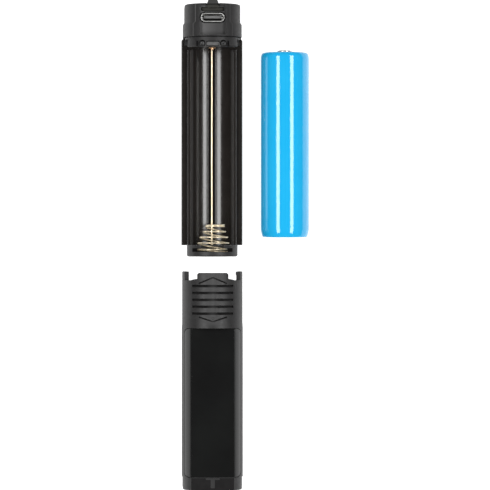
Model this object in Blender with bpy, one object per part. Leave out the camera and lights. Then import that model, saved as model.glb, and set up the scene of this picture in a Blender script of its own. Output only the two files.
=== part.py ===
"""A pen-type rechargeable detector torch, laid out taken apart: the light body with its battery tray, the
slide-on cover drawn off below it, the cell beside it and the charging port's rubber flap folded open.

Frame: +Y along the pen towards its light end, +X to the right, +Z up from the table on which it lies on its
flat back. The origin is the middle of the battery tray's flat back. Every dimension is in millimetres, and
mesh_object() turns it into metres.
"""

import math

import bmesh
import bpy

MM = 0.001

# Body section: vertical sides under a round front.
ARCH_Z = 14.7  # centre height of the round front
CELL_Z = 11.5  # height of the seated cell's axis
ARC_STEPS = 14
BACK_CORNER = 1.2
FIT = 0.3  # clearance between neighbouring pieces

# Stations along the pen.
HEAD_TOP, HEAD_STEP, HEAD_BOTTOM = 51.2, 44.0, 38.95
NECK_TOP, NECK_BOTTOM = 38.65, 35.15
TRAY_TOP, TRAY_BOTTOM = 39.3, -38.75
CUP_TOP, CUP_BOTTOM = -38.8, -43.05
COVER_TOP, TAB_TOP, SHOULDER = -48.55, -49.05, -51.8
WINDOW_TOP, WINDOW_BOTTOM = -69.65, -125.15
COVER_BOTTOM = -130.1

# Half widths.
HEAD_UPPER, HEAD_LOWER = 10.45, 11.0
NECK_WIDE, NECK_NARROW = 10.45, 10.15
GRIP, WINDOW_BAND, COVER_END = 11.27, 11.4, 11.1
TRAY_LEDGE, TRAY_BLOCK = 11.5, 9.3

# Head.
POCKET_X, POCKET_Z, POCKET_BOTTOM, POCKET_TOP = 4.85, 22.9, 39.35, 50.35
PORT_Y, PORT_WIDE, PORT_HIGH, PORT_WALL = 45.95, 8.94, 3.26, 0.3
PORT_BACK, PORT_FRONT = 15.5, 22.8
LIGHT_Z, LIGHT_BORE = 8.3, 6.2
BAY_R, BAY_BACK, BAY_FRONT, BAY_TOP = 9.5, 1.5, 22.0, 44.15
BUTTON_Z, BUTTON_BORE, BUTTON_FLOOR = 17.9, 2.9, 48.2
BUTTON_Y = 49.7
SCREW_X, SCREW_Y = 3.95, 36.25
RECESS_X, RECESS_R, RECESS_STOP = 6.1, 9.3, 37.25
LIP_Y, LIP_Z = 36.4, 17.0

# Tray.
LEDGE_Z, BLOCK_Z, TROUGH_R = 5.2, 6.6, 9.5
CHANNEL_X, CHANNEL_Z = 1.3, 0.95
WIRE_R, WIRE_Z = 0.375, 1.65

# Cell, lying beside the tray.
CELL_X, CELL_R, CELL_BOTTOM, CELL_TOP = 27.3, 9.15, -35.9, 33.6
BUTTON_TOP = 34.4

# Spring: radius and height of each turn's front strand, from its base up.
SPRING_WIRE, SPRING_SIDES, SPRING_POINTS = 0.28, 6, 12
SPRING_TURNS = ((5.6, -41.5), (5.6, -40.4), (5.8, -38.0), (5.1, -35.8), (4.1, -33.7), (3.4, -31.7))

# Cover.
CAVITY, WALL_BACK, END_BORE = 9.65, 5.5, 9.85
FLAT_IN, FLAT_SHELL, WINDOW_IN, WINDOW_OUT = 21.2, 21.75, 22.05, 23.05
WINDOW_SHELL_R, WINDOW_IN_R = 10.1, 10.4
WINDOW_EDGE_X, WINDOW_CORNER, SEAM = 10.45, 1.7, 0.18
TAB_X, HOOK_IN = 5.8, 8.8
HOOK_LOW, HOOK_HIGH = 8.0, 19.0
GROOVE_FIRST, GROOVE_PITCH, GROOVE_COUNT = -53.95, 2.56, 5
GROOVE_X, GROOVE_WIDE, GROOVE_DEEP = 7.6, 0.95, 0.95
ARROW_X, ARROW_WIDE, ARROW_DEEP = 5.2, 0.6, 0.6

# Flap, folded open about its hinge.
FLAP_Y, FLAP_Z = 50.85, 24.6
STRAP_X, STRAP_TIP_X, PAD_X = 2.2, 1.75, 4.5
PAD_Y0, PAD_Y1 = 52.95, 61.6


def clear_scene():
    for old in list(bpy.data.objects):
        bpy.data.objects.remove(old, do_unlink=True)


def material(name, colour, roughness, metallic=0.0):
    made = bpy.data.materials.get(name)
    if made is None:
        made = bpy.data.materials.new(name)
        made.use_nodes = True
        shader = made.node_tree.nodes["Principled BSDF"]
        shader.inputs["Base Color"].default_value = (*colour, 1.0)
        shader.inputs["Roughness"].default_value = roughness
        shader.inputs["Metallic"].default_value = metallic
    return made


def housing():
    return material("matte_black_plastic", (0.022, 0.022, 0.022), 0.5)


def gloss():
    return material("gloss_black_plastic", (0.012, 0.012, 0.012), 0.15)


def rubber():
    return material("black_rubber", (0.05, 0.05, 0.05), 0.7)


def steel():
    return material("nickel_plated_steel", (0.6, 0.6, 0.58), 0.3, 1.0)


def gold():
    return material("gold_plated_steel", (0.75, 0.5, 0.2), 0.3, 1.0)


def mesh_object(name, points, faces, finish=None):
    """An object from points in millimetres, its faces turned outwards."""
    mesh = bpy.data.meshes.new(name)
    mesh.from_pydata([[value * MM for value in point] for point in points], [], faces)
    shape = bmesh.new()
    shape.from_mesh(mesh)
    bmesh.ops.recalc_face_normals(shape, faces=shape.faces)
    if shape.calc_volume(signed=True) < 0:
        bmesh.ops.reverse_faces(shape, faces=shape.faces)
    shape.to_mesh(mesh)
    shape.free()
    mesh.shade_smooth()
    mesh.set_sharp_from_angle(angle=math.radians(30))
    made = bpy.data.objects.new(name, mesh)
    bpy.context.scene.collection.objects.link(made)
    if finish:
        mesh.materials.append(finish)
    return made


def loft(name, rings, finish=None, closed=False):
    """A solid through rings of equal length, capped at both ends, or joined end to start when closed."""
    size, count = len(rings[0]), len(rings)
    faces = []
    for ring in range(count if closed else count - 1):
        after = (ring + 1) % count
        for i in range(size):
            j = (i + 1) % size
            faces.append((ring * size + i, ring * size + j, after * size + j, after * size + i))
    if not closed:
        faces += [tuple(range(size)), tuple(range((count - 1) * size, count * size))]
    return mesh_object(name, [point for ring in rings for point in ring], faces, finish)


def along_y(name, stations, finish=None):
    """A loft through (y, outline in x and z) stations."""
    return loft(name, [[(x, y, z) for x, z in outline] for y, outline in stations], finish)


def block(name, low, high, finish=None, edge=0.0):
    """A box between two corners, its edges parallel to Z cut by 45 degrees when edge is given."""
    (x0, y0, z0), (x1, y1, z1) = low, high
    outline = [
        (x0 + edge, y0), (x1 - edge, y0), (x1, y0 + edge), (x1, y1 - edge),
        (x1 - edge, y1), (x0 + edge, y1), (x0, y1 - edge), (x0, y0 + edge),
    ]
    if not edge:
        outline = [(x0, y0), (x1, y0), (x1, y1), (x0, y1)]
    return loft(name, [[(x, y, z) for x, y in outline] for z in (z0, z1)], finish)


def arc(centre_z, radius, start, end, steps):
    """Points in x and z on an arc about (0, centre_z), its angles in degrees from +X towards +Z."""
    angles = [math.radians(start + (end - start) * i / steps) for i in range(steps + 1)]
    return [(radius * math.cos(a), centre_z + radius * math.sin(a)) for a in angles]


def arch(half, inset=0.0, back=0.0, flat=None):
    """The body section: a flat back with cut corners, vertical sides and a round front with a flat."""
    radius = half - inset
    corner = BACK_CORNER if back == 0.0 else 0.0
    low = back + inset
    right = [(radius - corner, low), (radius, low + corner)] if corner else [(radius, low)]
    left = [(-x, z) for x, z in reversed(right)]
    if flat is None:
        return right + arc(ARCH_Z, radius, 0, 180, 2 * ARC_STEPS) + left
    turn = math.degrees(math.asin((flat - ARCH_Z) / radius))
    rise = arc(ARCH_Z, radius, 0, turn, ARC_STEPS)
    return right + rise + [(-x, z) for x, z in reversed(rise)] + left


def turned(name, profile, centre, finish=None, axis="Y", segments=40, ring=False):
    """A solid turned about an axis through centre. The profile holds (radius, place along the axis)."""
    points, faces, rings = [], [], []
    for radius, place in profile:
        count = 1 if radius == 0 else segments
        rings.append(list(range(len(points), len(points) + count)))
        for i in range(count):
            a = 2 * math.pi * i / segments
            u, v = radius * math.cos(a), radius * math.sin(a)
            if axis == "Y":
                points.append((centre[0] + u, place, centre[1] + v))
            else:
                points.append((centre[0] + u, centre[1] + v, place))
    pairs = list(zip(rings, rings[1:] + rings[:1])) if ring else list(zip(rings, rings[1:]))
    for first, second in pairs:
        for i in range(segments):
            j = (i + 1) % segments
            corners = [first[i % len(first)], first[j % len(first)]]
            corners += [second[j % len(second)], second[i % len(second)]]
            face = tuple(dict.fromkeys(corners))
            if len(face) > 2:
                faces.append(face)
    return mesh_object(name, points, faces, finish)


def rod(name, radius, start, end, centre, finish=None, axis="Y", segments=24, edge=0.0):
    """A solid cylinder with both ends' edges cut by 45 degrees."""
    profile = [(0, start), (radius - edge, start), (radius, start + edge)]
    profile += [(radius, end - edge), (radius - edge, end), (0, end)]
    if not edge:
        profile = [(0, start), (radius, start), (radius, end), (0, end)]
    return turned(name, profile, centre, finish, axis, segments)


def slot_outline(wide, high, steps=6):
    """A stadium in x and y about the origin."""
    reach, radius = (wide - high) / 2, high / 2
    points = []
    for side in (1, -1):
        for i in range(steps + 1):
            a = math.radians(-90 + 180 * i / steps)
            points.append((side * (reach + radius * math.cos(a)), side * radius * math.sin(a)))
    return points


def slot_prism(name, wide, high, z0, z1, finish=None):
    outline = slot_outline(wide, high)
    return loft(name, [[(x, PORT_Y + y, z) for x, y in outline] for z in (z0, z1)], finish)


def boolean(target, tool, operation):
    """Keeps the tool as a wire helper that the target's modifier reads."""
    tool.hide_render = True
    tool.display_type = "WIRE"
    step = target.modifiers.new(tool.name, "BOOLEAN")
    step.operation = operation
    step.object = tool


def cut(target, *tools):
    for tool in tools:
        boolean(target, tool, "DIFFERENCE")


def add(target, *tools):
    for tool in tools:
        boolean(target, tool, "UNION")


def joint_empty(name, place, children):
    """An empty on a joint's axis that carries the pieces of its body."""
    empty = bpy.data.objects.new(name, None)
    empty.location = [value * MM for value in place]
    bpy.context.scene.collection.objects.link(empty)
    for child in children:
        child.parent = empty
        child.location = [-value * MM for value in place]


def bay_outline(gap):
    """The section of the cap's inside, or of a piece that fits it with a gap all round."""
    return arch(BAY_R - gap, 0, BAY_BACK + gap, BAY_FRONT - gap)


def head_cap():
    stations = [
        (HEAD_BOTTOM, arch(HEAD_LOWER, 0.1)), (HEAD_BOTTOM + 0.1, arch(HEAD_LOWER)),
        (HEAD_STEP - 0.45, arch(HEAD_LOWER)), (HEAD_STEP + 0.45, arch(HEAD_UPPER)),
        (HEAD_TOP - 0.7, arch(HEAD_UPPER)), (HEAD_TOP - 0.2, arch(HEAD_UPPER, 0.2)),
        (HEAD_TOP, arch(HEAD_UPPER, 0.7)),
    ]
    cap = along_y("head_cap", stations, housing())
    port = slot_prism("port_tunnel", PORT_WIDE + 2 * FIT, PORT_HIGH + 2 * FIT, PORT_BACK - FIT, POCKET_Z + 1)
    cut(
        cap,
        along_y("board_bay", [(HEAD_BOTTOM - 1, bay_outline(0)), (BAY_TOP, bay_outline(0))]),
        block("flap_pocket", (-POCKET_X, POCKET_BOTTOM, POCKET_Z), (POCKET_X, POCKET_TOP, 28), edge=0.6),
        block("root_recess", (-4.3, 48.2, 21.5), (4.3, POCKET_TOP - 0.5, 24), edge=0.3),
        block("tray_notch", (-12, HEAD_BOTTOM - 1, -1), (12, TRAY_TOP + FIT, LEDGE_Z + FIT)),
        slot_prism("port_mouth", PORT_WIDE + 1.3, PORT_HIGH + 1.1, 22.3, POCKET_Z + 1),
        block("strap_notch", (-STRAP_X - FIT, POCKET_TOP - 0.4, POCKET_Z), (STRAP_X + FIT, HEAD_TOP + 1, 28)),
        port,
        rod("root_hole_left", 0.45, 20.9, 24, (-2.5, 49.35), axis="Z", segments=16),
        rod("root_hole_right", 0.45, 20.9, 24, (2.5, 49.35), axis="Z", segments=16),
        rod("light_bore", LIGHT_BORE, BAY_TOP - 0.3, HEAD_TOP + 1, (0, LIGHT_Z), segments=40),
        rod("button_bore", BUTTON_BORE, BUTTON_FLOOR, HEAD_TOP + 1, (0, BUTTON_Z), segments=32),
    )
    return cap


def neck_frame():
    """The neck under the cap: a spigot inside it, a recess for the cover's tab, slots for its hooks."""
    stations = [
        (NECK_BOTTOM, arch(NECK_WIDE, 0.2, LEDGE_Z)), (NECK_BOTTOM + 0.3, arch(NECK_WIDE, 0, LEDGE_Z)),
        (NECK_TOP, arch(NECK_NARROW, 0, LEDGE_Z)),
    ]
    neck = along_y("neck_frame", stations, housing())
    side = math.degrees(math.acos(RECESS_X / RECESS_R))
    floor = arc(ARCH_Z, RECESS_R, side, 180 - side, 12)
    recess = [(RECESS_X, 28), *floor, (-RECESS_X, 28)]
    add(neck, along_y("spigot", [(NECK_TOP - 0.1, bay_outline(FIT)), (41.4, bay_outline(FIT))]))
    cut(
        neck,
        along_y("tab_recess", [(NECK_BOTTOM - 1, recess), (RECESS_STOP, recess)]),
        block("neck_bay", (-6.8, RECESS_STOP + 0.3, 5), (6.8, 43, 19.5)),
        block("lip_relief", (-12, NECK_BOTTOM - 1, 0), (12, LIP_Y, LIP_Z)),
        block("tray_clearance", (-12, NECK_BOTTOM - 1, 0), (12, 43, LEDGE_Z + FIT)),
        block("tab_seat", (-2.4, NECK_BOTTOM + 0.1, 22.8), (2.4, 37.1, 26)),
        rod("contact_bore", 1.3, NECK_BOTTOM - 1, RECESS_STOP + 1, (0, CELL_Z)),
    )
    for side, at in (("left", -1), ("right", 1)):
        cut(
            neck,
            block(
                f"hook_slot_{side}",
                (at * 9.8 - 1.3, 34, HOOK_LOW - FIT), (at * 9.8 + 1.3, 38.0, HOOK_HIGH + FIT),
            ),
            rod(f"head_bore_{side}", 1.3, 22.1, 26, (at * SCREW_X, SCREW_Y), axis="Z", segments=20),
            rod(f"shank_bore_{side}", 0.85, 17.7, 24, (at * SCREW_X, SCREW_Y), axis="Z", segments=16),
        )
    return neck


def neck_screw(side, at):
    shank = [(0, 18.0), (0.3, 18.0), (0.55, 18.5), (0.55, 22.4)]
    profile = shank + [(1.05, 22.4), (1.05, 22.8), (0.8, 23.0), (0, 23.0)]
    screw = turned(f"neck_screw_{side}", profile, (at * SCREW_X, SCREW_Y), steel(), "Z", 20)
    across = (at * SCREW_X, SCREW_Y)
    cut(
        screw,
        block(
            f"driver_slot_{side}",
            (across[0] - 0.15, SCREW_Y - 0.6, 22.6), (across[0] + 0.15, SCREW_Y + 0.6, 24),
        ),
        block(
            f"driver_cross_{side}",
            (across[0] - 0.6, SCREW_Y - 0.15, 22.6), (across[0] + 0.6, SCREW_Y + 0.15, 24),
        ),
    )
    return screw


def contacts():
    block("contact_tab", (-2.2, NECK_BOTTOM + 0.3, 23.05), (2.2, 36.85, 23.45), steel(), 0.3)
    leaf = block("positive_contact", (-1.3, 35.1, 8.6), (1.3, 35.45, LIP_Z - 0.15), gold())
    add(leaf, rod("contact_pin", 0.6, 34.6, 37.9, (0, CELL_Z), segments=20))
    turned("spring_plate", [(0, -42.15), (7.6, -42.15), (7.6, -41.95), (0, -41.95)], (0, CELL_Z), steel())


def battery_tray():
    """A flat-backed tray with a ledge along each side, a round trough and a channel for the return wire."""
    edge = math.degrees(math.acos((CELL_Z - BLOCK_Z) / TROUGH_R))
    lip = math.degrees(math.asin(CHANNEL_X / TROUGH_R))
    trough = arc(CELL_Z, TROUGH_R, -90 + edge, -90 + lip, ARC_STEPS)
    right = [
        (TRAY_LEDGE - 0.5, 0), (TRAY_LEDGE, 0.5), (TRAY_LEDGE, LEDGE_Z - 0.4), (TRAY_LEDGE - 0.4, LEDGE_Z),
        (TRAY_BLOCK, LEDGE_Z), (TRAY_BLOCK, BLOCK_Z - 0.3), (TRAY_BLOCK - 0.3, BLOCK_Z),
        *trough, (CHANNEL_X, CHANNEL_Z),
    ]
    outline = right + [(-x, z) for x, z in reversed(right)]
    tray = along_y("battery_tray", [(TRAY_BOTTOM, outline), (TRAY_TOP, outline)], gloss())
    cut(tray, block("neck_clearance", (-12, NECK_BOTTOM - FIT, LEDGE_Z), (12, 45, 9)))
    for side, at in (("left", -1), ("right", 1)):
        corner = [(at * 12.5, TRAY_TOP + 1), (at * 12.5, TRAY_TOP - 2.0), (at * 9.5, TRAY_TOP + 1)]
        cut(tray, loft(f"corner_{side}", [[(x, y, z) for x, y in corner] for z in (-1, 8)]))
    return tray


def end_cup():
    profile = [
        (0, CUP_BOTTOM), (8.9, CUP_BOTTOM), (9.4, CUP_BOTTOM + 0.25), (9.5, CUP_BOTTOM + 0.7), (9.5, CUP_TOP),
        (8.2, CUP_TOP), (8.2, CUP_BOTTOM + 0.6), (0, CUP_BOTTOM + 0.6),
    ]
    cup = turned("end_cup", profile, (0, CELL_Z), housing(), segments=56)
    cut(
        cup,
        block("cup_window", (-7.5, -41.25, 14), (7.5, -39.9, 22)),
        block("cup_mouth", (-4.2, -41.0, 14), (4.2, -38, 22)),
    )
    return cup


def tube(name, path, radius, sides, finish):
    """A round tube along a path of (x, y, z) points that turns mostly about the Y axis or runs along it."""
    rings = []
    for i, point in enumerate(path):
        before, after = path[max(i - 1, 0)], path[min(i + 1, len(path) - 1)]
        ahead = [after[k] - before[k] for k in range(3)]
        length = math.sqrt(sum(value * value for value in ahead))
        ahead = [value / length for value in ahead]
        upright = (0, 1, 0) if abs(ahead[1]) < 0.9 else (1, 0, 0)
        side = cross(ahead, upright)
        length = math.sqrt(sum(value * value for value in side))
        side = [value / length for value in side]
        over = cross(side, ahead)
        ring = []
        for k in range(sides):
            a = 2 * math.pi * k / sides
            ring.append([
                point[n] + radius * (math.cos(a) * side[n] + math.sin(a) * over[n]) for n in range(3)
            ])
        rings.append(ring)
    return loft(name, rings, finish)


def cross(a, b):
    return [a[1] * b[2] - a[2] * b[1], a[2] * b[0] - a[0] * b[2], a[0] * b[1] - a[1] * b[0]]


def contact_spring():
    """A conical spring: radius and height change evenly from each turn's front strand to the next one's."""
    path = []
    for (r0, y0), (r1, y1) in zip(SPRING_TURNS, SPRING_TURNS[1:]):
        for i in range(SPRING_POINTS):
            part = i / SPRING_POINTS
            a = math.radians(90) - 2 * math.pi * part
            radius = r0 + (r1 - r0) * part
            path.append((radius * math.cos(a), y0 + (y1 - y0) * part, CELL_Z + radius * math.sin(a)))
    top, height = SPRING_TURNS[-1]
    for i in range(SPRING_POINTS * 3 // 4):
        a = math.radians(90 - 360 * i / SPRING_POINTS)
        path.append((top * math.cos(a), height + 0.03 * i, CELL_Z + top * math.sin(a)))
    return tube("contact_spring", path, SPRING_WIRE, SPRING_SIDES, gold())


def light_group():
    package = [(0, 44.05), (3.0, 44.05), (3.0, 44.95), (1.7, 44.95), (1.5, 45.75), (0.9, 46.25), (0, 46.45)]
    turned("uv_led", package, (0, LIGHT_Z), material("led_package", (0.8, 0.8, 0.7), 0.3), segments=24)
    inner = [(2.0 + 3.4 * math.sqrt(i / 8), 45.5 + 4.0 * i / 8) for i in range(9)]
    outer = [(5.9, 49.5), (5.9, 48.8), (5.5, 46.8), (4.2, 45.5)]
    turned("reflector", inner + outer, (0, LIGHT_Z), steel(), segments=40, ring=True)
    seal = [(5.2, 49.7), (5.9, 49.7), (5.9, 50.0), (5.2, 50.0)]
    turned("lens_seal", seal, (0, LIGHT_Z), rubber(), ring=True)
    glass = material("dark_glass", (0.08, 0.04, 0.12), 0.05)
    rod("uv_glass", 5.9, 50.1, 50.5, (0, LIGHT_Z), glass, segments=40)
    bezel = [(5.0, 50.6), (5.95, 50.6), (5.95, 50.95), (5.75, 51.15), (5.3, 51.15)]
    turned("lens_ring", bezel, (0, LIGHT_Z), steel(), segments=40, ring=True)


def electronics():
    board = [(42.75, bay_outline(FIT)), (43.75, bay_outline(FIT))]
    along_y("main_board", board, material("circuit_board", (0.02, 0.15, 0.05), 0.4))
    shell = slot_prism("usb_shell", PORT_WIDE, PORT_HIGH, PORT_BACK, PORT_FRONT, steel())
    inside = (PORT_WIDE - 2 * PORT_WALL, PORT_HIGH - 2 * PORT_WALL)
    cut(shell, slot_prism("shell_bore", *inside, PORT_BACK + PORT_WALL, PORT_FRONT + 1))
    tongue = block("usb_tongue", (-3.35, PORT_Y - 0.3, 16.4), (3.35, PORT_Y + 0.6, 20.8), gloss())
    add(tongue, block("tongue_base", (-3.4, PORT_Y - 0.9, 16.1), (3.4, PORT_Y + 0.9, 17.2)))
    switch = block("tact_switch", (-1.9, 48.4, BUTTON_Z - 1.9), (1.9, 49.0, BUTTON_Z + 1.9), steel())
    add(switch, rod("switch_plunger", 1.1, 48.75, 49.25, (0, BUTTON_Z), segments=20))


def push_button():
    rim = [(2.6, BUTTON_Y + 1.0), (2.4, BUTTON_Y + 1.2), (1.9, BUTTON_Y + 1.15)]
    profile = [(0, BUTTON_Y), (2.6, BUTTON_Y)] + rim + [(0, BUTTON_Y + 1.0)]
    return turned("push_button", profile, (0, BUTTON_Z), rubber(), segments=32)


def return_wire():
    path = [(0, 34.8, WIRE_Z), (0, 0, WIRE_Z), (0, -38.4, WIRE_Z)]
    return tube("return_wire", path, WIRE_R, 10, gold())


def flap():
    """The fixed rubber root, and the strap, pad and plug that swing about the hinge beside it."""
    block("flap_anchor", (-STRAP_X, 49.5, 23.2), (STRAP_X, FLAP_Y - 0.2, 23.9), rubber(), 0.2)
    widths = [(FLAP_Y + 0.1, STRAP_X), (FLAP_Y + 1.3, STRAP_TIP_X), (PAD_Y0 + 0.6, STRAP_TIP_X + 0.2)]
    strap = loft(
        "port_flap",
        [[(-x, y, 24.2), (x, y, 24.2), (x, y, 25.0), (-x, y, 25.0)] for y, x in widths],
        rubber(),
    )
    plug = slot_outline(7.9, 2.2)
    add(
        strap,
        block("pad", (-PAD_X, PAD_Y0, 24.7), (PAD_X, PAD_Y1, 25.9), edge=0.8),
        loft("plug", [[(x, 2 * FLAP_Y - PORT_Y + y, z) for x, y in plug] for z in (25.5, 27.9)]),
    )
    return strap


def surface_groove(name, middle_y, end_y, half_x, wide, deep):
    """A V-shaped cutter that follows the grip's round front across X, straight or bent at the middle."""
    rings = []
    for i in range(13):
        x = half_x * (i / 6 - 1)
        y = middle_y + (end_y - middle_y) * abs(x) / half_x
        lift = 0.3
        more = wide * (1 + lift / deep)
        top = ARCH_Z + math.sqrt(GRIP**2 - x * x) + lift
        bottom = y + wide * 0.15
        rings.append([
            (x, bottom - 0.65 * more, top), (x, bottom, top - lift - deep), (x, bottom + 0.35 * more, top),
        ])
    return loft(name, rings)


def cover_shell():
    """A shell open at its back, closed as a cup at its far end, with two hooks and a tab at its mouth."""
    stations = [
        (COVER_BOTTOM, arch(COVER_END, 0.5)), (COVER_BOTTOM + 0.15, arch(COVER_END, 0.15)),
        (COVER_BOTTOM + 0.5, arch(COVER_END)), (WINDOW_BOTTOM - 0.2, arch(COVER_END)),
        (WINDOW_BOTTOM, arch(WINDOW_BAND)), (WINDOW_TOP, arch(WINDOW_BAND)), (WINDOW_TOP + 2, arch(GRIP)),
        (COVER_TOP - 0.3, arch(GRIP)), (COVER_TOP, arch(GRIP, 0.2)),
    ]
    shell = along_y("cover_shell", stations, housing())
    cavity = arch(CAVITY, 0, -1.0)
    flat_cavity = arch(CAVITY, 0, -1.0, FLAT_IN)
    cut(
        shell,
        along_y("cavity", [(WINDOW_TOP + FIT, cavity), (COVER_TOP + 1, cavity)]),
        along_y("flat_cavity", [(WINDOW_BOTTOM, flat_cavity), (WINDOW_TOP + 0.5, flat_cavity)]),
        block("open_back", (-12, WINDOW_BOTTOM, -1), (12, COVER_TOP + 1, WALL_BACK)),
        rod("end_bore", END_BORE, COVER_BOTTOM + 0.85, WINDOW_BOTTOM + 0.5, (0, CELL_Z), segments=48),
        block("end_flat", (-12, COVER_BOTTOM - 1, 22.4), (12, WINDOW_BOTTOM, 28)),
        window_pocket(),
        block("mouth", (-TAB_X, TAB_TOP, 14), (TAB_X, COVER_TOP + 1, 28)),
        tab_corner("left", -1),
        tab_corner("right", 1),
        block("back_trim", (-12, SHOULDER, 0), (12, COVER_TOP + 1, HOOK_LOW)),
    )
    for side, at in (("left", -1), ("right", 1)):
        tab, hook = at * TAB_X, at * HOOK_IN
        notch = [(tab, COVER_TOP + 1), (tab, SHOULDER + 0.55), (hook, SHOULDER), (hook, COVER_TOP + 1)]
        cut(shell, loft(f"notch_{side}", [[(x, y, z) for x, y in notch] for z in (10, 28)]))
        high, low = (at * 11 + 3, COVER_TOP + 1, 28), (at * 11 - 3, SHOULDER, HOOK_HIGH)
        cut(shell, block(f"hook_top_{side}", low, high))
    for count in range(GROOVE_COUNT):
        y = GROOVE_FIRST - GROOVE_PITCH * count
        cut(shell, surface_groove(f"groove_{count}", y, y, GROOVE_X, GROOVE_WIDE, GROOVE_DEEP))
    cut(
        shell,
        surface_groove("arrow_up", -50.8, -53.0, ARROW_X, ARROW_WIDE, ARROW_DEEP),
        surface_groove("arrow_down", -67.15, -65.45, ARROW_X, ARROW_WIDE, ARROW_DEEP),
        rod("dimple", 0.55, ARCH_Z + GRIP - 0.4, 28, (0, -65.9), axis="Z", segments=16),
    )
    add(
        shell,
        block(
            "hook_nub_left",
            (-9.9, COVER_TOP - 1.4, HOOK_LOW + 0.5), (-HOOK_IN, COVER_TOP - 0.3, HOOK_HIGH - 1.5),
        ),
        block(
            "hook_nub_right",
            (HOOK_IN, COVER_TOP - 1.4, HOOK_LOW + 0.5), (9.9, COVER_TOP - 0.3, HOOK_HIGH - 1.5),
        ),
        block("rib_bar", (-2.6, WINDOW_BOTTOM - 0.9, 22.2), (2.6, WINDOW_BOTTOM - 0.3, 22.57)),
        block("rib_stem", (-0.8, COVER_BOTTOM + 0.9, 22.2), (0.8, WINDOW_BOTTOM - 0.5, 22.6)),
    )
    return shell


def tab_corner(side, at):
    """A cutter that takes the tab's corner off at 45 degrees."""
    outer, inner = at * (TAB_X + 0.1), at * (TAB_X - 0.7)
    corner = [(outer, TAB_TOP - 0.7), (outer, TAB_TOP + 0.1), (inner, TAB_TOP + 0.1)]
    return loft(f"tab_corner_{side}", [[(x, y, z) for x, y in corner] for z in (14, 28)])


def band_arc(radius, foot, flat):
    """The right half of a round section between a foot height and the height of its flat front."""
    start = math.degrees(math.asin((foot - ARCH_Z) / radius))
    turn = math.degrees(math.asin((flat - ARCH_Z) / radius))
    return arc(ARCH_Z, radius, start, turn, ARC_STEPS)


def window_stations(gap):
    """(y, foot height) pairs along the window, whose foot rises at both ends to round its corners."""
    pairs = []
    for i in range(5):
        a = math.radians(90 * i / 4)
        edge = WINDOW_EDGE_X + gap - WINDOW_CORNER * (1 - math.sin(a))
        foot = ARCH_Z + math.sqrt(WINDOW_BAND**2 - edge**2)
        pairs.append((WINDOW_CORNER * (1 - math.cos(a)) - gap, foot))
    low = [(WINDOW_BOTTOM + SEAM + y, foot) for y, foot in pairs]
    return low + [(WINDOW_TOP - SEAM - y, foot) for y, foot in reversed(pairs)]


def window_pocket():
    """The seat of the glossy window: everything outside a thinner, flatter section."""
    stations = []
    for y, foot in window_stations(SEAM):
        rise = band_arc(WINDOW_SHELL_R, foot, FLAT_SHELL)
        mirrored = [(-x, z) for x, z in reversed(rise)]
        stations.append((y, [(12, foot), *rise, *mirrored, (-12, foot), (-12, 28), (12, 28)]))
    return along_y("window_pocket", stations)


def cover_window():
    """The glossy window: flat in front, its round sides reaching down to the seams."""
    stations = []
    for y, foot in window_stations(0):
        outer = band_arc(WINDOW_BAND, foot, WINDOW_OUT)
        inner = band_arc(WINDOW_IN_R, foot, WINDOW_IN)
        mirrored = [(-x, z) for x, z in reversed(outer)]
        stations.append((y, outer + mirrored + [(-x, z) for x, z in inner] + list(reversed(inner))))
    return along_y("cover_window", stations, gloss())


def cell():
    centre = (CELL_X, CELL_R)
    low, high = CELL_BOTTOM, CELL_TOP
    outer = [(7.9, low), (8.7, low + 0.15), (9.0, low + 0.4), (CELL_R, low + 0.9), (CELL_R, high - 0.9)]
    outer += [(9.0, high - 0.4), (8.7, high - 0.15), (7.9, high)]
    inner = [(7.9, high - 0.25), (8.6, high - 0.5), (8.9, high - 0.9), (8.9, low + 0.9), (8.6, low + 0.5)]
    inner += [(7.9, low + 0.25)]
    sleeve = material("blue_film", (0.01, 0.4, 0.85), 0.2)
    return [
        turned("cell_wrapper", outer + inner, centre, sleeve, segments=56, ring=True),
        rod("cell_can", 8.55, low + 0.75, high - 0.75, centre, steel(), segments=40, edge=0.4),
        turned(
            "cell_insulator",
            [(3.2, high - 0.45), (7.6, high - 0.45), (7.6, high - 0.1), (3.2, high - 0.1)],
            centre, material("white_fibre", (0.7, 0.7, 0.68), 0.8), ring=True,
        ),
        rod("cell_button", 2.85, high - 0.45, BUTTON_TOP, centre, steel(), edge=0.25, segments=32),
        rod("cell_base_plate", 7.6, low + 0.08, low + 0.45, centre, steel(), segments=40),
    ]


def main():
    clear_scene()
    head_cap()
    neck_frame()
    neck_screw("left", -1)
    neck_screw("right", 1)
    contacts()
    battery_tray()
    end_cup()
    contact_spring()
    return_wire()
    light_group()
    electronics()
    joint_empty("button_axis", (0, BUTTON_Y, BUTTON_Z), [push_button()])
    joint_empty("flap_axis", (0, FLAP_Y, FLAP_Z), [flap()])
    joint_empty("cover_axis", (0, WINDOW_TOP, 0), [cover_shell(), cover_window()])
    swing_x = (CELL_X**2 + (CELL_R - CELL_Z) ** 2) / (2 * CELL_X)
    joint_empty("cell_axis", (swing_x, 0, CELL_Z), cell())


main()
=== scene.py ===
"""Looks for the pen-type detector torch, laid out taken apart: camera, light, refined pieces and materials.

Lengths are in millimetres until mesh_piece() or MM turns them into metres. The frame is the CAD model's:
+Y along the pen towards its light end, +X to the right, +Z up from the table.
"""

import math

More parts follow.
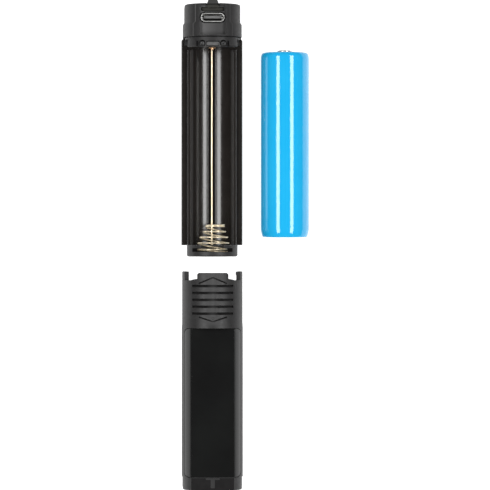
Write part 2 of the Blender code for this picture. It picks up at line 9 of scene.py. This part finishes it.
import bmesh
import bpy
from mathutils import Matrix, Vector


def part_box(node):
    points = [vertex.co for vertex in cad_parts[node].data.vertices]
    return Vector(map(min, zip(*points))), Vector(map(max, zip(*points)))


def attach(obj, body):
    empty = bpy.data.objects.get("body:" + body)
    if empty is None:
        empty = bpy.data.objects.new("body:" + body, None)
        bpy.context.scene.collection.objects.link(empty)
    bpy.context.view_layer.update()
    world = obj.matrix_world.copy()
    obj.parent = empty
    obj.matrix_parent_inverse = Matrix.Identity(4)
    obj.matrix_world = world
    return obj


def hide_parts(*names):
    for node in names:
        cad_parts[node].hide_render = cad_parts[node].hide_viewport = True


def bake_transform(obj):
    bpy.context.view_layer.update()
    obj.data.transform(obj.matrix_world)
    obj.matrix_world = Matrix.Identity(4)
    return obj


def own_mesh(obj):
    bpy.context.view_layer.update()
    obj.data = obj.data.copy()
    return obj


MM = 0.001
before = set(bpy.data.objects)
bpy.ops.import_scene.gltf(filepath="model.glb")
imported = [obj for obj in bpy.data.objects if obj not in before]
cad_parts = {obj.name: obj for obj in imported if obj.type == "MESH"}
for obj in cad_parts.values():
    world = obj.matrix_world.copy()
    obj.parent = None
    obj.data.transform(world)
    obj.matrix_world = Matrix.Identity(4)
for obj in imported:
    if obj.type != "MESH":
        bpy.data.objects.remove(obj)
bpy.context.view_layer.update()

# Camera: nearly straight above, turned a little about the pen's long axis.
AIM = Vector((12.2, -38.7, 15.0)) * MM
CAMERA_AWAY = 1.3
CAMERA_TURN = math.radians(1.5)
VIEW_WIDTH = 183.3 * MM  # how much of the aim's plane the picture spans
SENSOR = 36.0

# Two long strip lights, one on each side of the camera's line.
STRIP_AWAY, STRIP_LENGTH, STRIP_WIDTH = 0.6, 0.55, 0.17
STRIP_TURN = math.radians(33.0)
STRIP_POWER = 2.4
FLOOR_WHITE = 1.05  # what the camera sees
FLOOR_NEAR, FLOOR_FAR = 0.75, 0.2  # what the object sees, near to it and far from it


def node_box(name):
    """A CAD node's lowest and highest corners in millimetres."""
    low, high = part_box(name)
    return low / MM, high / MM


# ---------------------------------------------------------------- materials

# Heights and places, in metres, where a material changes.
POCKET_FLOOR_Z = 0.0229
END_FLAT_Y, END_FLAT_Z, END_FLAT_ROUGHNESS = -0.12545, 0.0224, 0.22
# The second value is the strength of the painted highlight on the grip's crown.
GRIP_END_Y, CROWN_HIGHLIGHT = -0.0690, 0.040
# Between these heights the tongue darkens with painted shade.
TONGUE_ROOT_Z, TONGUE_TIP_Z = 0.0180, 0.0206


def new_material(name, colour, roughness, metallic=0.0, **sockets):
    made = bpy.data.materials.new(name)
    made.use_nodes = True
    shader = made.node_tree.nodes["Principled BSDF"]
    shader.inputs["Base Color"].default_value = (*colour, 1.0)
    shader.inputs["Roughness"].default_value = roughness
    shader.inputs["Metallic"].default_value = metallic
    for socket, value in sockets.items():
        shader.inputs[socket.replace("_", " ")].default_value = value
    return made


def noise(tree, scale, detail=3.0):
    """A noise texture in the piece's own coordinates; scale is in features for each metre."""
    place = tree.nodes.new("ShaderNodeTexCoord")
    texture = tree.nodes.new("ShaderNodeTexNoise")
    texture.inputs["Scale"].default_value = scale
    texture.inputs["Detail"].default_value = detail
    tree.links.new(place.outputs["Object"], texture.inputs["Vector"])
    return texture.outputs["Fac"]


def height(tree, axis="Z"):
    """A coordinate of the shaded point, in metres, in the piece's own frame."""
    place = tree.nodes.new("ShaderNodeTexCoord")
    split = tree.nodes.new("ShaderNodeSeparateXYZ")
    tree.links.new(place.outputs["Object"], split.inputs["Vector"])
    return split.outputs[axis]


def ramp(tree, source, low, high, start=0.3, end=0.7):
    """Maps a 0 to 1 value onto two greys or two colours."""
    made = tree.nodes.new("ShaderNodeValToRGB")
    for stop, place, colour in zip(made.color_ramp.elements, (start, end), (low, high)):
        stop.position = place
        stop.color = (*colour, 1) if isinstance(colour, tuple) else (colour, colour, colour, 1)
    tree.links.new(source, made.inputs["Fac"])
    return made.outputs["Color"]


def map_range(tree, source, start, end, low, high):
    """Maps start to end onto low to high, and holds those outside them."""
    made = tree.nodes.new("ShaderNodeMapRange")
    for socket, value in (("From Min", start), ("From Max", end), ("To Min", low), ("To Max", high)):
        made.inputs[socket].default_value = value
    tree.links.new(source, made.inputs["Value"])
    return made.outputs["Result"]


def multiply(tree, first, *others):
    """The product of these sockets."""
    for other in others:
        made = tree.nodes.new("ShaderNodeMath")
        made.operation = "MULTIPLY"
        tree.links.new(first, made.inputs[0])
        tree.links.new(other, made.inputs[1])
        first = made.outputs["Value"]
    return first


def add_painted_light(tree, amount):
    """Adds amount, as painted light, to the shader's varied base colour."""
    colour = tree.nodes["Principled BSDF"].inputs["Base Color"]
    lift = tree.nodes.new("ShaderNodeVectorMath")
    tree.links.new(colour.links[0].from_socket, lift.inputs[0])
    tree.links.new(amount, lift.inputs[1])
    tree.links.new(lift.outputs["Vector"], colour)


def vary(made, socket, scale, low, high):
    """Varies a socket of the shader between two values with noise."""
    tree = made.node_tree
    varied = ramp(tree, noise(tree, scale), low, high)
    tree.links.new(varied, tree.nodes["Principled BSDF"].inputs[socket])


def vary_colour(made, scale, low, high):
    vary(made, "Base Color", scale, low, high)


def vary_roughness(made, scale, low, high):
    vary(made, "Roughness", scale, low, high)


def bump(made, scale, depth, strength=1.0, **options):
    """Fine relief: depth in millimetres."""
    tree = made.node_tree
    relief = tree.nodes.new("ShaderNodeBump")
    relief.inputs["Strength"].default_value = strength
    relief.inputs["Distance"].default_value = depth * MM
    tree.links.new(noise(tree, scale, **options), relief.inputs["Height"])
    tree.links.new(relief.outputs["Normal"], tree.nodes["Principled BSDF"].inputs["Normal"])


def matte_plastic():
    made = new_material("matte_moulded_plastic", (0.03, 0.03, 0.03), 0.42, IOR=1.5)
    vary_colour(made, 350, (0.0145, 0.0138, 0.0140), (0.0195, 0.0187, 0.0190))
    vary_roughness(made, 900, 0.46, 0.53)
    bump(made, 5200, 0.012, 0.5, detail=2.0)
    return made


def gloss_plastic():
    made = new_material("gloss_moulded_plastic", (0.01, 0.01, 0.01), 0.16, IOR=1.6)
    vary_colour(made, 250, (0.0150, 0.0125, 0.0110), (0.0200, 0.0170, 0.0150))
    vary_roughness(made, 420, 0.14, 0.195)
    bump(made, 700, 0.006, 0.35, detail=2.0)
    return made


def window_plastic():
    made = new_material("polished_window", (0.006, 0.006, 0.0065), 0.14, IOR=1.5)
    vary_colour(made, 60, (0.0078, 0.0079, 0.0079), (0.0108, 0.0114, 0.0110))
    vary_roughness(made, 300, 0.12, 0.16)
    return made


def tongue_plastic():
    """Grey at the tongue's tip, with painted shade darkening it towards its root inside the shell."""
    made = new_material("tongue_plastic", (0.09, 0.09, 0.09), 0.4, IOR=1.5)
    tree = made.node_tree
    # Painted shade: grey at the tip, near black at the root deep in the shell.
    depth = map_range(tree, height(tree), TONGUE_ROOT_Z, TONGUE_TIP_Z, 0, 1)
    grain = map_range(tree, noise(tree, 900), 0.3, 0.7, -0.08, 0.08)
    total = tree.nodes.new("ShaderNodeMath")
    tree.links.new(depth, total.inputs[0])
    tree.links.new(grain, total.inputs[1])
    depth_shade = ramp(tree, total.outputs["Value"], 0.004, 0.16, 0.0, 1.0)
    tree.links.new(depth_shade, tree.nodes["Principled BSDF"].inputs["Base Color"])
    return made


def head_plastic():
    """The matte plastic, with painted light on the floor of the port's pocket, most of all at its left."""
    made = matte_plastic()
    made.name = "head_moulded_plastic"
    tree = made.node_tree
    # Painted light: the pocket's floor is made paler, brightest at its left.
    above = map_range(tree, height(tree), POCKET_FLOOR_Z - 0.00015, POCKET_FLOOR_Z - 0.00005, 0, 1)
    below = map_range(tree, height(tree), POCKET_FLOOR_Z + 0.00005, POCKET_FLOOR_Z + 0.00015, 1, 0)
    pocket_light = map_range(tree, height(tree, "X"), -0.0035, 0.0015, 0.085, 0.028)
    add_painted_light(tree, multiply(tree, pocket_light, above, below))
    return made


def cover_plastic():
    """The matte plastic, smoother on the flat at the cover's closed end, with a painted highlight along the
    grip's crown.
    """
    made = matte_plastic()
    made.name = "cover_moulded_plastic"
    tree = made.node_tree
    end = map_range(tree, height(tree, "Y"), END_FLAT_Y, END_FLAT_Y + 0.0001, 1, 0)
    below = map_range(tree, height(tree), END_FLAT_Z + 0.00005, END_FLAT_Z + 0.00015, 1, 0)
    above = map_range(tree, height(tree), END_FLAT_Z - 0.0004, END_FLAT_Z - 0.0001, 0, 1)
    rough = tree.nodes["Principled BSDF"].inputs["Roughness"]
    mix = tree.nodes.new("ShaderNodeMix")
    mix.inputs["B"].default_value = END_FLAT_ROUGHNESS
    tree.links.new(multiply(tree, end, below, above), mix.inputs["Factor"])
    tree.links.new(rough.links[0].from_socket, mix.inputs["A"])
    tree.links.new(mix.outputs["Result"], rough)
    # Painted highlight: paler along the middle of the grip, fading out to each side.
    side = tree.nodes.new("ShaderNodeMath")
    side.operation = "ABSOLUTE"
    tree.links.new(height(tree, "X"), side.inputs[0])
    crown = map_range(tree, side.outputs["Value"], 0.0002, 0.0023, CROWN_HIGHLIGHT, 0)
    grip = map_range(tree, height(tree, "Y"), GRIP_END_Y, GRIP_END_Y + 0.0020, 0, 1)
    add_painted_light(tree, multiply(tree, crown, grip))
    return made


def shaded_root_rubber():
    # Darker than the soft rubber: partly the rubber's own olive tone, partly painted shade for the deep
    # recess it sits in.
    made = new_material("shaded_root_rubber", (0.012, 0.0115, 0.008), 0.6)
    vary_colour(made, 1100, (0.009, 0.0085, 0.005), (0.018, 0.017, 0.011))
    bump(made, 3500, 0.02, 0.5)
    return made


def rubber():
    made = new_material("soft_rubber", (0.04, 0.04, 0.04), 0.6)
    vary_colour(made, 800, (0.022, 0.022, 0.021), (0.032, 0.032, 0.030))
    bump(made, 3500, 0.02, 0.5)
    return made


def plated(name, low, high, rough_low=0.18, rough_high=0.34, relief=0.3, metallic=1.0):
    made = new_material(name, low, rough_low, metallic)
    vary_colour(made, 900, low, high)
    vary_roughness(made, 1600, rough_low, rough_high)
    if relief:
        bump(made, 6000, 0.004, relief)
    return made


def blue_film():
    made = new_material(
        "blue_shrink_film", (0.014, 0.47, 0.95), 0.08, IOR=1.5, Coat_Weight=0.6, Coat_Roughness=0.04
    )
    vary_colour(made, 90, (0.014, 0.52, 0.98), (0.022, 0.55, 1.0))
    bump(made, 200, 0.004, 0.06, detail=1.0)
    return made


def board_mask():
    made = new_material("solder_mask", (0.02, 0.12, 0.05), 0.35)
    vary_colour(made, 1500, (0.012, 0.09, 0.035), (0.03, 0.17, 0.07))
    bump(made, 2500, 0.02, 0.4)
    return made


def ceramic():
    made = new_material("led_ceramic", (0.8, 0.75, 0.4), 0.35)
    vary_colour(made, 1500, (0.72, 0.66, 0.32), (0.85, 0.82, 0.55))
    return made


def filter_glass():
    made = new_material("filter_glass", (0.03, 0.015, 0.06), 0.04, IOR=1.5)
    vary_colour(made, 300, (0.022, 0.010, 0.05), (0.035, 0.018, 0.075))
    return made


def fibre():
    made = new_material("pressed_fibre", (0.7, 0.7, 0.68), 0.8)
    vary_colour(made, 1200, (0.60, 0.60, 0.57), (0.74, 0.74, 0.71))
    bump(made, 2600, 0.03, 0.6)
    return made


# ---------------------------------------------------------------- mesh tools


WELD_REACH = 0.002  # millimetres
FLAT_ANGLE, ROUND_ANGLE, SPLIT_ANGLE, PIECE_ANGLE = (math.radians(a) for a in (0.3, 32, 35, 40))


def dress(name, look, edge):
    """Gives a CAD node its material and rounds its edges by edge millimetres."""
    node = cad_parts[name]
    node.data.materials.clear()
    node.data.materials.append(look)
    for polygon in node.data.polygons:
        polygon.use_smooth = True
    imported = node.data.attributes.get("custom_normal")
    if imported:
        node.data.attributes.remove(imported)
    weld = node.modifiers.new("weld", "WELD")
    weld.merge_threshold = WELD_REACH * MM
    flat = node.modifiers.new("join_flats", "DECIMATE")
    flat.decimate_type = "DISSOLVE"
    flat.angle_limit = FLAT_ANGLE
    rounding = node.modifiers.new("rounding", "BEVEL")
    rounding.width = edge * MM
    rounding.segments = 2
    rounding.limit_method = "ANGLE"
    rounding.angle_limit = ROUND_ANGLE
    split = node.modifiers.new("split", "EDGE_SPLIT")
    split.split_angle = SPLIT_ANGLE
    shading = node.modifiers.new("shading", "WEIGHTED_NORMAL")
    shading.mode = "FACE_AREA_WITH_ANGLE"
    shading.weight = 80


def mesh_piece(name, points, faces, look, body=None):
    """A smooth-shaded piece from points in millimetres that rides on a CAD body, when one is given."""
    mesh = bpy.data.meshes.new(name)
    mesh.from_pydata([[value * MM for value in point] for point in points], [], faces)
    shape = bmesh.new()
    shape.from_mesh(mesh)
    bmesh.ops.recalc_face_normals(shape, faces=shape.faces)
    if shape.calc_volume(signed=True) < 0:
        bmesh.ops.reverse_faces(shape, faces=shape.faces)
    shape.to_mesh(mesh)
    shape.free()
    mesh.shade_smooth()
    mesh.set_sharp_from_angle(angle=PIECE_ANGLE)
    mesh.materials.append(look)
    piece = bpy.data.objects.new(name, mesh)
    bpy.context.scene.collection.objects.link(piece)
    if body:
        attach(piece, body)
    return piece


def loft(name, rings, look, body=None):
    """A solid through rings of equal length, capped at both ends."""
    size, count = len(rings[0]), len(rings)
    faces = []
    for start in range(0, (count - 1) * size, size):
        for i in range(size):
            j = (i + 1) % size
            faces.append((start + i, start + j, start + size + j, start + size + i))
    faces += [tuple(range(size)), tuple(range((count - 1) * size, count * size))]
    return mesh_piece(name, [point for ring in rings for point in ring], faces, look, body)


def turned_ring(name, profile, centre, look, body, segments=128):
    """A closed profile of (radius, y) points turned about an axis along Y through centre."""
    points, faces, size = [], [], len(profile)
    for i in range(segments):
        a = 2 * math.pi * i / segments
        for radius, y in profile:
            points.append((centre[0] + radius * math.cos(a), y, centre[1] + radius * math.sin(a)))
    for i in range(segments):
        for k in range(size):
            j, n = (i + 1) % segments, (k + 1) % size
            faces.append((i * size + k, i * size + n, j * size + n, j * size + k))
    return mesh_piece(name, points, faces, look, body)


def smooth_path(points, steps):
    """Catmull-Rom points through the given ones."""
    path = []
    for i in range(len(points) - 1):
        p0, p1 = points[max(i - 1, 0)], points[i]
        p2, p3 = points[i + 1], points[min(i + 2, len(points) - 1)]
        for step in range(steps):
            t = step / steps
            point = []
            for a, b, c, d in zip(p0, p1, p2, p3):
                squared, cubed = 2 * a - 5 * b + 4 * c - d, 3 * b - a - 3 * c + d
                point.append(0.5 * (2 * b + (c - a) * t + squared * t * t + cubed * t**3))
            path.append(point)
    path.append(list(points[-1]))
    return path


def tube(name, path, radius, look, body, sides=12):
    """A round tube along a path, its rings carried along without twist."""
    rings = []
    side = None
    for i, point in enumerate(path):
        ahead = (Vector(path[min(i + 1, len(path) - 1)]) - Vector(path[max(i - 1, 0)])).normalized()
        if side is None:
            side = ahead.orthogonal().normalized()
        side = (side - ahead * side.dot(ahead)).normalized()
        over = ahead.cross(side)
        ring = []
        for k in range(sides):
            a = 2 * math.pi * k / sides
            ring.append(Vector(point) + (side * math.cos(a) + over * math.sin(a)) * radius)
        rings.append(ring)
    return loft(name, rings, look, body)


# ---------------------------------------------------------------- pieces

SPRING_AXIS_Z = 11.5
SPRING_WIRE = 0.28
# Radius and height of each turn's level front strand, from the top down.
SPRING_TURNS = ((3.4, -31.7), (4.1, -33.7), (5.1, -35.8), (5.75, -38.0), (5.55, -40.4), (5.6, -41.3))
SPRING_CLOSED = 0.55  # the closed turn's rise at the top
SPRING_LEVEL = 0.42  # the part of each turn that runs level
SPRING_LEAN = 0.95  # how far its top stands to the right of its base
SPRING_OFFSET = 0.1  # how far its base stands to the right of the middle
SPRING_DRAWN_IN = 0.97  # the closed turn's width against the first turn's


def contact_spring(look):
    """A conical spring whose turns run level in front and drop behind, with a closed turn at its top."""
    path = []
    steps = 40
    top, first = SPRING_TURNS[0]
    last = SPRING_TURNS[-1][1]

    def lean(y):
        return SPRING_OFFSET + SPRING_LEAN * (y - last) / (first - last)

    for i in range(steps):
        a = 2 * math.pi * i / steps
        y = first + SPRING_CLOSED - SPRING_CLOSED * i / steps
        path.append((lean(y) + top * SPRING_DRAWN_IN * math.cos(a), y, SPRING_AXIS_Z + top * math.sin(a)))
    for (r0, y0), (r1, y1) in zip(SPRING_TURNS, SPRING_TURNS[1:]):
        for i in range(steps):
            part = i / steps
            back = min(max((part - SPRING_LEVEL) / (1 - SPRING_LEVEL), 0.0), 1.0)
            ease = back * back * (3 - 2 * back)
            radius = r0 + (r1 - r0) * ease
            a = 2 * math.pi * part
            y = y0 + (y1 - y0) * ease
            path.append((lean(y) + radius * math.cos(a), y, SPRING_AXIS_Z + radius * math.sin(a)))
    piece = tube("coiled_spring", path, SPRING_WIRE, look, "light_body", 10)
    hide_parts("contact_spring")
    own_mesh(piece)


def return_wire(look):
    """The straight return wire, bent up a little at both ends."""
    low, high = node_box("return_wire")
    x, z = 0.0, (low.z + high.z) / 2
    upper = [(x, high.y - 0.1, z + 0.5), (x, high.y - 0.9, z + 0.1), (x + 0.03, 18, z)]
    lower = [(x - 0.02, -5, z), (x + 0.03, -24, z), (x, low.y + 1.0, z), (x, low.y + 0.1, z + 0.1)]
    piece = tube("gold_return_wire", smooth_path(upper + lower, 10), 0.36, look, "light_body", 14)
    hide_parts("return_wire")


def cell_sleeve(look):
    """The shrink film: it tapers towards each end and folds in over the can's edge."""
    low, high = node_box("cell_wrapper")
    centre, radius = ((low.x + high.x) / 2, (low.z + high.z) / 2), (high.x - low.x) / 2
    # Each pair is the change of radius and the distance from that end.
    bottom = [
        (-1.5, 0.02), (-1.05, 0.08), (-0.75, 0.22), (-0.6, 0.48),
        (-0.5, 0.8), (-0.32, 1.5), (-0.14, 2.3), (0.0, 3.1),
    ]
    top = [(-1.3, 0.02), (-0.8, 0.14), (-0.45, 0.42), (-0.2, 0.9), (-0.06, 1.5), (0.0, 2.2)]
    outer = [(radius + d, low.y + y) for d, y in bottom]
    outer += [(radius + d, high.y - y) for d, y in reversed(top)]
    inner = [(radius - 1.35, high.y - 0.3), (radius - 0.7, high.y - 0.7), (radius - 0.25, high.y - 1.6)]
    inner += [(radius - 0.25, low.y + 2.0), (radius - 0.65, low.y + 0.8), (radius - 1.35, low.y + 0.25)]
    piece = turned_ring("film_sleeve", outer + inner, centre, look, "cell")
    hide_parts("cell_wrapper")
    piece.visible_glossy = False  # the black parts beside it carry no blue reflections


def flap_root(look):
    """The rubber root that fills the floor of the recess above the port, dark to stand in for the recess's
    shade.
    """
    half, low, high, corner = 4.05, 48.45, 49.7, 0.3
    right = [(half - corner, low), (half, low + corner), (half, high - corner), (half - corner, high)]
    outline = right + [(-x, y) for x, y in reversed(right)]
    rings = [[(x, y, z) for x, y in outline] for z in (21.55, 22.0)]
    # Painted shade: this dark pad makes the recess floor read as shaded.
    piece = loft("flap_root_shade_pad", rings, look, "light_body")


def cup_seat(look):
    """A thin gasket that closes the hairline between the tray's end and the round cup's rim."""
    cup, tray = node_box("end_cup"), node_box("battery_tray")
    outer, inner, first, sweep, steps, clear = 9.47, 8.9, -172, 164, 40, 0.003
    angles = [math.radians(first + sweep * i / steps) for i in range(steps + 1)]
    outline = [(outer * math.cos(a), SPRING_AXIS_Z + outer * math.sin(a)) for a in angles]
    outline += [(inner * math.cos(a), SPRING_AXIS_Z + inner * math.sin(a)) for a in reversed(angles)]
    rings = [[(x, y, z) for x, z in outline] for y in (cup[1].y + clear, tray[0].y - clear)]
    piece = loft("cup_seat_gasket", rings, look, "light_body")


def living_hinge(look):
    """The thin rubber web that bends between the flap's fixed root and its strap."""
    root, strap = node_box("flap_anchor"), node_box("port_flap")
    start = Vector((0, root[1].y - 0.25, (root[0].z + root[1].z) / 2))
    end = Vector((0, strap[0].y + 0.35, strap[0].z + 0.4))
    dip, side = Vector((0, 0, 0.12)), Vector((1.8, 0, 0))
    path = smooth_path([start, start.lerp(end, 0.3) - dip, start.lerp(end, 0.7) + dip, end], 5)
    rings = []
    for i, point in enumerate(path):
        ahead = Vector(path[min(i + 1, len(path) - 1)]) - Vector(path[max(i - 1, 0)])
        over = Vector((0, -ahead.z, ahead.y)).normalized() * 0.24
        low, high = Vector(point) - over, Vector(point) + over
        rings.append([low - side, low + side, high + side, high - side])
    piece = loft("flap_web", rings, look)
    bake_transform(piece)


def dress_all():
    matte, gloss, soft, root = matte_plastic(), gloss_plastic(), rubber(), shaded_root_rubber()
    nickel = plated("nickel_plate", (0.55, 0.55, 0.53), (0.68, 0.68, 0.66))
    gold = plated("gold_flash", (0.94, 0.76, 0.50), (1.0, 0.87, 0.65), 0.30, 0.40, 0)
    wire = plated("satin_gold_wire", (1.0, 0.82, 0.56), (1.0, 0.90, 0.68), 0.24, 0.34, 0, 0.55)
    copper = plated("copper_contact", (0.72, 0.42, 0.22), (0.84, 0.54, 0.32), 0.28, 0.36, 0)
    dull = plated("dull_steel", (0.13, 0.13, 0.13), (0.20, 0.20, 0.20), 0.4, 0.5)
    dark = plated("blackened_steel", (0.05, 0.05, 0.05), (0.10, 0.10, 0.10), 0.35, 0.45)
    satin = plated("satin_nickel", (0.74, 0.74, 0.72), (0.84, 0.84, 0.82), 0.36, 0.46)
    mirror = plated("metallised_reflector", (0.82, 0.82, 0.83), (0.9, 0.9, 0.9), 0.06, 0.12)
    looks = {
        "head_cap": (head_plastic(), 0.12), "neck_frame": (matte, 0.08),
        "cover_shell": (cover_plastic(), 0.1), "battery_tray": (gloss, 0.05), "end_cup": (matte, 0.05),
        "cover_window": (window_plastic(), 0.08), "usb_tongue": (tongue_plastic(), 0.05),
        "usb_shell": (satin, 0.08), "contact_tab": (dull, 0.06), "neck_screw_left": (dark, 0.05),
        "neck_screw_right": (dark, 0.05), "spring_plate": (nickel, 0.04), "lens_ring": (nickel, 0.06),
        "tact_switch": (nickel, 0.08), "cell_can": (nickel, 0.1), "cell_button": (nickel, 0.1),
        "cell_base_plate": (nickel, 0.08), "positive_contact": (copper, 0.06),
        "reflector": (mirror, 0.03), "uv_led": (ceramic(), 0.06), "uv_glass": (filter_glass(), 0.06),
        "main_board": (board_mask(), 0.05), "cell_insulator": (fibre(), 0.04), "lens_seal": (soft, 0.06),
        "flap_anchor": (root, 0.1), "port_flap": (soft, 0.18), "push_button": (soft, 0.1),
    }
    for name, (look, edge) in looks.items():
        dress(name, look, edge)
    flap_root(root)
    living_hinge(soft)
    cup_seat(matte)
    contact_spring(wire)
    return_wire(gold)
    cell_sleeve(blue_film())


# ---------------------------------------------------------------- stage


def add_camera():
    data = bpy.data.cameras.new("camera")
    data.sensor_width = SENSOR
    data.lens = SENSOR * CAMERA_AWAY / VIEW_WIDTH
    data.clip_start, data.clip_end = 0.01, 20.0
    camera = bpy.data.objects.new("camera", data)
    camera.location = AIM + Vector((-math.sin(CAMERA_TURN), 0, math.cos(CAMERA_TURN))) * CAMERA_AWAY
    camera.rotation_euler = (0, -CAMERA_TURN, 0)
    bpy.context.scene.collection.objects.link(camera)
    bpy.context.scene.camera = camera


def add_strip(name, side, power):
    data = bpy.data.lights.new(name, "AREA")
    data.shape = "RECTANGLE"
    data.size, data.size_y = STRIP_WIDTH, STRIP_LENGTH
    data.energy = power
    light = bpy.data.objects.new(name, data)
    turn = side * STRIP_TURN
    light.location = AIM + Vector((math.sin(turn), 0, math.cos(turn))) * STRIP_AWAY
    light.rotation_euler = (0, turn, 0)
    bpy.context.scene.collection.objects.link(light)


def add_floor():
    """White to the camera. What the object sees of it is bright near to it and dim far from it."""
    look = new_material("white_table", (0.5, 0.5, 0.5), 0.6, Emission_Color=(1, 1, 1, 1))
    tree = look.node_tree
    place = tree.nodes.new("ShaderNodeTexCoord")
    away = tree.nodes.new("ShaderNodeVectorMath")
    away.operation = "DISTANCE"
    away.inputs[1].default_value = (0, AIM.y, 0)
    tree.links.new(place.outputs["Object"], away.inputs[0])
    seen = map_range(tree, away.outputs["Value"], 0.1, 0.4, FLOOR_NEAR, FLOOR_FAR)
    path = tree.nodes.new("ShaderNodeLightPath")
    mix = tree.nodes.new("ShaderNodeMix")
    mix.inputs["B"].default_value = FLOOR_WHITE
    tree.links.new(path.outputs["Is Camera Ray"], mix.inputs["Factor"])
    tree.links.new(seen, mix.inputs["A"])
    tree.links.new(mix.outputs["Result"], tree.nodes["Principled BSDF"].inputs["Emission Strength"])
    mesh = bpy.data.meshes.new("floor")
    reach, drop = 3.0, -0.0004
    corners = [(-reach, -reach, drop), (reach, -reach, drop), (reach, reach, drop), (-reach, reach, drop)]
    mesh.from_pydata(corners, [], [(0, 1, 2, 3)])
    mesh.materials.append(look)
    floor = bpy.data.objects.new("floor", mesh)
    bpy.context.scene.collection.objects.link(floor)


def add_world():
    """White to the camera, and a dim room for everything that the object reflects."""
    world = bpy.data.worlds.new("room")
    world.use_nodes = True
    tree = world.node_tree
    background = tree.nodes["Background"]
    path = tree.nodes.new("ShaderNodeLightPath")
    mix = tree.nodes.new("ShaderNodeMix")
    mix.data_type = "RGBA"
    mix.inputs["A"].default_value = (0.05, 0.05, 0.05, 1)
    mix.inputs["B"].default_value = (1.05, 1.05, 1.05, 1)
    tree.links.new(path.outputs["Is Camera Ray"], mix.inputs["Factor"])
    tree.links.new(mix.outputs["Result"], background.inputs["Color"])
    bpy.context.scene.world = world


def main():
    dress_all()
    add_camera()
    add_strip("strip_left", -1, STRIP_POWER)
    add_strip("strip_right", 1, STRIP_POWER)
    add_floor()
    add_world()
    bpy.context.scene.view_settings.view_transform = "Standard"


main()
